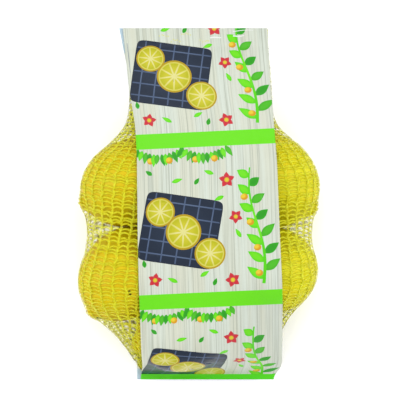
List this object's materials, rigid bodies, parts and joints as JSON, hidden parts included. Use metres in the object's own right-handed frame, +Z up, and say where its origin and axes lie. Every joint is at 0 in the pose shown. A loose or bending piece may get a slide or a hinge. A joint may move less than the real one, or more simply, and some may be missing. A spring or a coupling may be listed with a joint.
{
  "type": "net of lemons",
  "caption": "Net of whole yellow lemons: a knitted tube filled in one layer and welded flat at both ends between a printed front film band and a plain back one, lying on its back.",
  "frame": {"origin": "middle of the bounding box, on the surface that the pack lies on", "axes": "+Y along the pack towards its head, +Z up from the surface to the printed front, +X to the right as seen from above"},
  "size_m": [0.1524, 0.223, 0.0614],
  "materials": {
    "net": "yellow knitted polyethylene net, drawn tight over yellow lemons",
    "front_film": "printed polyethylene film, satin, pale boards with green, navy and yellow print",
    "back_film": "plain pale polyethylene film, satin",
    "lemon_peel": "waxy lemon peel, seen through the net",
    "stem_end": "dry brown stem ends of the lemons"
  },
  "bodies": {
    "root": {"filled_net": "net", "front_band": "front_film", "back_band": "back_film"}
  },
  "joints": []
}
